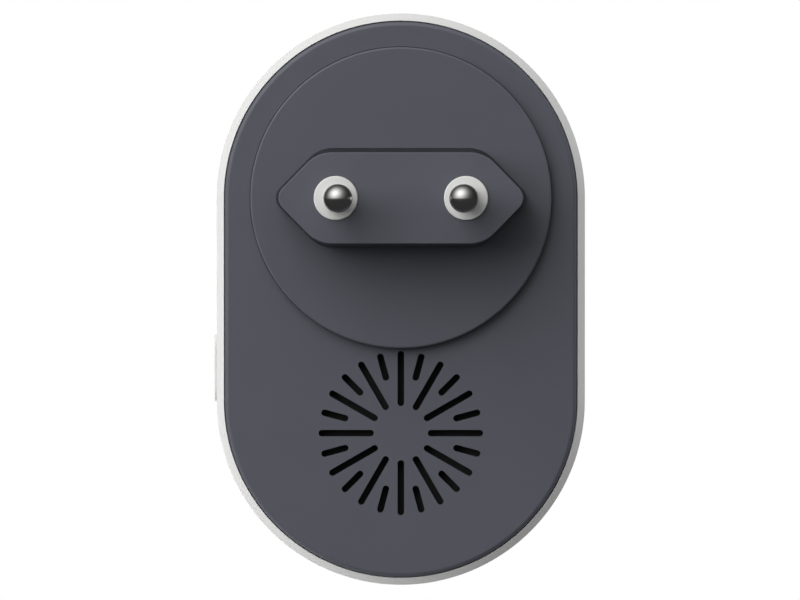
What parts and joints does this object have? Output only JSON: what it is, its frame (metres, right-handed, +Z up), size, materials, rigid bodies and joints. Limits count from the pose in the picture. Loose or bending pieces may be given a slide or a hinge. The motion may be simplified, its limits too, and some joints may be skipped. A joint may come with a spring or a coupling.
{
  "type": "ultrasonic pest repeller",
  "caption": "Pill-shaped plug-in ultrasonic pest repeller: white housing, dark back cover with a sunburst sound grille, fixed round-pin mains plug and a side push button.",
  "frame": {"origin": "middle of the plug's engagement face, between the two pins", "axes": "+Z up in use and along the housing's length, +Y out of the back along the plug, into the wall socket, -Y into the room, button on the +X side"},
  "size_m": [0.0538, 0.0588, 0.0826],
  "materials": {
    "white_housing": "satin moulded",
    "dark_cover": "fine satin moulded",
    "pin_metal": "polished nickel plate",
    "sleeve_white": "satin moulded",
    "black_nylon": "moulded",
    "screw_steel": "zinc plated",
    "acoustic_cloth": "fine weave",
    "foam_gasket": "closed-cell foam",
    "brass_plate": "rolled",
    "piezo_ceramic": "silvered",
    "cone_aluminium": "spun",
    "red_insulation": "soft sleeve",
    "board_green": "solder mask",
    "capacitor_yellow": "cast box",
    "capacitor_sleeve": "shrink sleeve",
    "fuse_beige": "lacquered",
    "varistor_blue": "dipped epoxy",
    "chip_black": "moulded epoxy",
    "ferrite": "sintered",
    "copper_winding": "enamelled wire",
    "led_epoxy": "diffused epoxy",
    "clear_window": "clear acrylic",
    "brown_insulation": "soft sleeve",
    "blue_insulation": "soft sleeve"
  },
  "bodies": {
    "housing": {"board_screws": "screw_steel", "bulk_capacitor": "capacitor_sleeve", "carrier_screws": "screw_steel", "chip_resistors": "chip_black", "clamp_screws": "screw_steel", "controller_chip": "chip_black", "driver_transistors": "chip_black", "film_capacitor": "capacitor_yellow", "front_shell": "white_housing", "fuse_resistor": "fuse_beige", "grille_cloth": "acoustic_cloth", "indicator_led": "led_epoxy", "light_pipe": "clear_window", "main_board": "board_green", "mains_lead_left": "brown_insulation", "mains_lead_right": "blue_insulation", "output_capacitor": "capacitor_sleeve", "pin_retainer": "black_nylon", "pin_sleeve_left": "sleeve_white", "pin_sleeve_right": "sleeve_white", "plug_carrier": "dark_cover", "plug_pin_left": "pin_metal", "plug_pin_right": "pin_metal", "rear_cover": "dark_cover", "rectifier_bridge": "chip_black", "switch_body": "chip_black", "switch_dome": "screw_steel", "switch_terminals": "screw_steel", "transducer_can": "black_nylon", "transducer_ceramic": "piezo_ceramic", "transducer_clamp": "black_nylon", "transducer_cone": "cone_aluminium", "transducer_gasket": "foam_gasket", "transducer_leads": "red_insulation", "transducer_plate": "brass_plate", "transformer_bobbin": "black_nylon", "transformer_core": "ferrite", "transformer_winding": "copper_winding", "varistor": "varistor_blue"},
    "button": {"side_button": "white_housing"},
    "plunger": {"switch_plunger": "black_nylon"}
  },
  "joints": [
    {"name": "button_press", "type": "slide", "parent": "housing", "child": "button", "axis": [-1, 0, 0], "range_m": [0, 0.0003], "stiffness_N_per_m": 1500, "springref_m": -0.0005},
    {"name": "plunger_press", "type": "slide", "parent": "housing", "child": "plunger", "axis": [-1, 0, 0], "range_m": [0, 0.00045]}
  ],
  "couplings": [
    {"joint": "plunger_press", "follows": "button_press", "ratio": 1}
  ]
}
